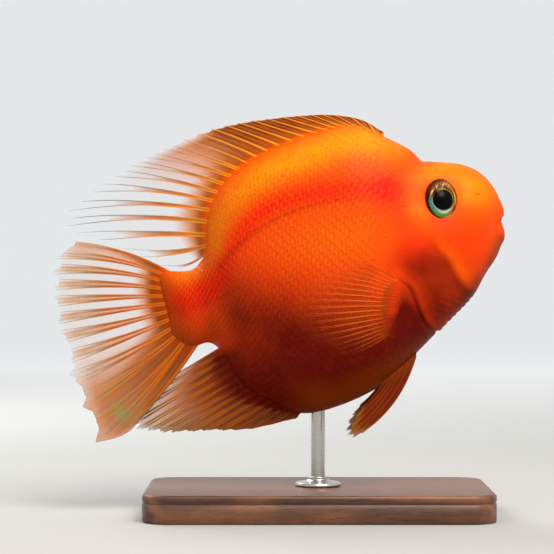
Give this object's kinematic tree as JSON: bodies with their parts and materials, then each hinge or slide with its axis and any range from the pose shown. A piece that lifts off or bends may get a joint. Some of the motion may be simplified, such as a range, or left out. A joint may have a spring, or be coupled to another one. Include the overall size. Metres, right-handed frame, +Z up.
{
  "type": "blood parrot cichlid model on a display stand",
  "caption": "Still life-size model of a deep-bodied orange ornamental fish, nose up with its fins spread, held over a flat wooden base by a short steel rod.",
  "frame": {"origin": "centre of the underside of the wooden base, where it rests on the table", "axes": "+X the way the fish faces, +Z up, +Y to the fish's left"},
  "size_m": [0.1989, 0.084, 0.1746],
  "materials": {
    "skin": "glossy scaled skin, yellow-orange on the back, red-orange on the flanks",
    "fin": "golden orange rays with clear membranes between them",
    "eye": "clear polished cornea over a black pupil and a gold and green iris",
    "walnut": "dark walnut with a satin oil finish",
    "steel": "brushed stainless steel"
  },
  "bodies": {
    "root": {"snout": "skin", "lower_jaw": "skin", "head": "skin", "gill_cover_right": "skin", "gill_cover_left": "skin", "trunk": "skin", "tail_stalk": "skin", "eye_right": "eye", "eye_left": "eye", "dorsal_fin": "fin", "anal_fin": "fin", "tail_fin": "fin", "pectoral_fin_right": "fin", "pectoral_fin_left": "fin", "pelvic_fin_right": "fin", "pelvic_fin_left": "fin", "stand_base": "walnut", "stand_rod": "steel", "stand_collar": "steel"}
  },
  "joints": []
}
